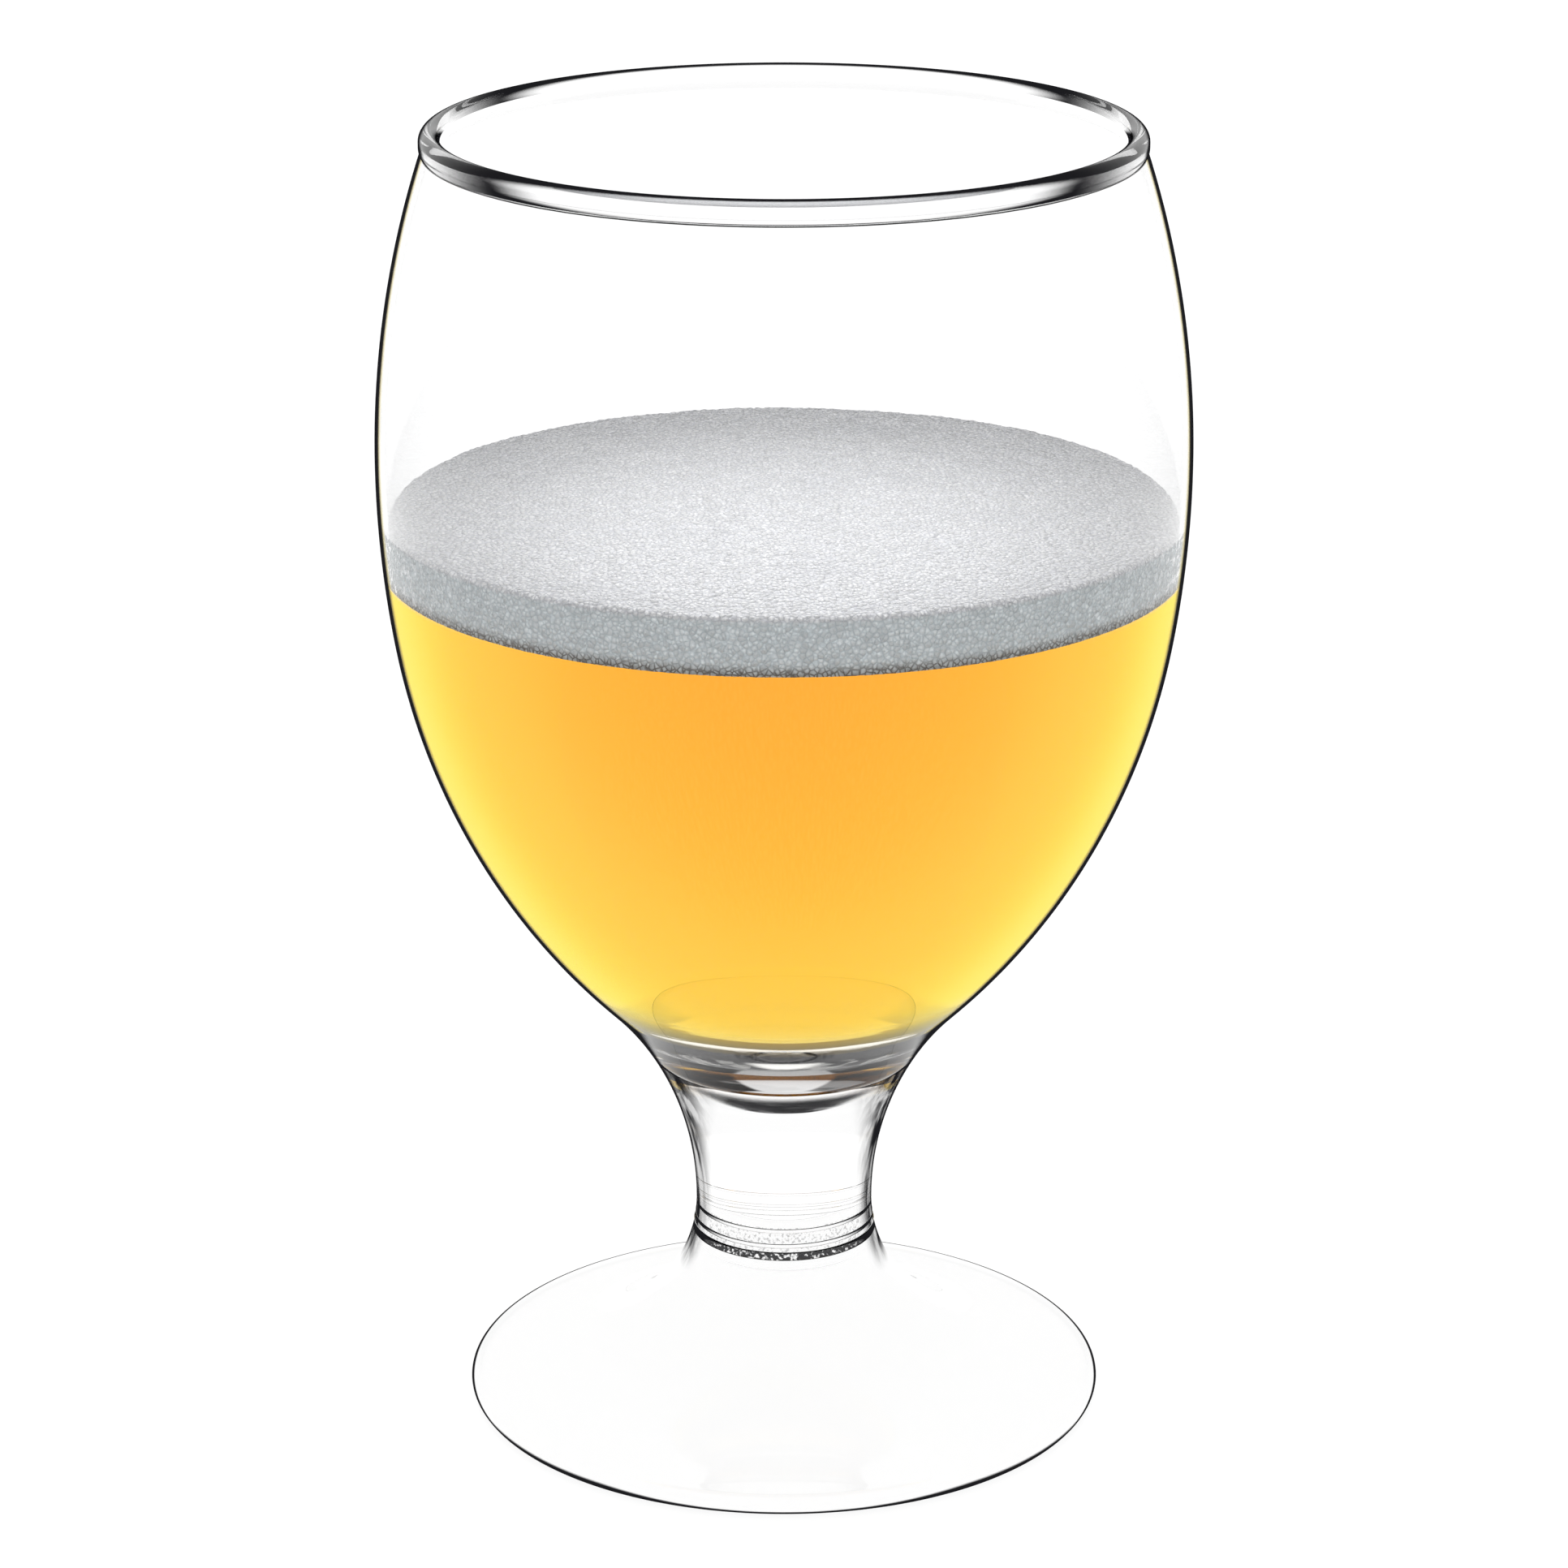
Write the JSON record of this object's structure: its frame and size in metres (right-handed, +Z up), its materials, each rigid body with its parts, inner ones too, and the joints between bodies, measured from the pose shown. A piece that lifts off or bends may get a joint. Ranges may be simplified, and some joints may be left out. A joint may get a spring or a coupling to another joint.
{
  "type": "footed beer goblet",
  "caption": "Footed beer goblet of clear glass: egg-shaped bowl with a beaded rim on a short solid stem and trumpet foot, filled with golden beer under a head of foam.",
  "frame": {"origin": "centre of the foot's resting plane", "axes": "+Z up along the axis of the glass; the glass is turned about that axis, so +X and +Y are free"},
  "size_m": [0.0912, 0.0912, 0.15],
  "materials": {
    "glass": "fire-polished, clear",
    "beer": "clear golden lager",
    "foam": "fine wet froth"
  },
  "bodies": {
    "root": {"bowl": "glass", "stem": "glass", "foot": "glass", "beer": "beer", "foam_head": "foam"}
  },
  "joints": []
}
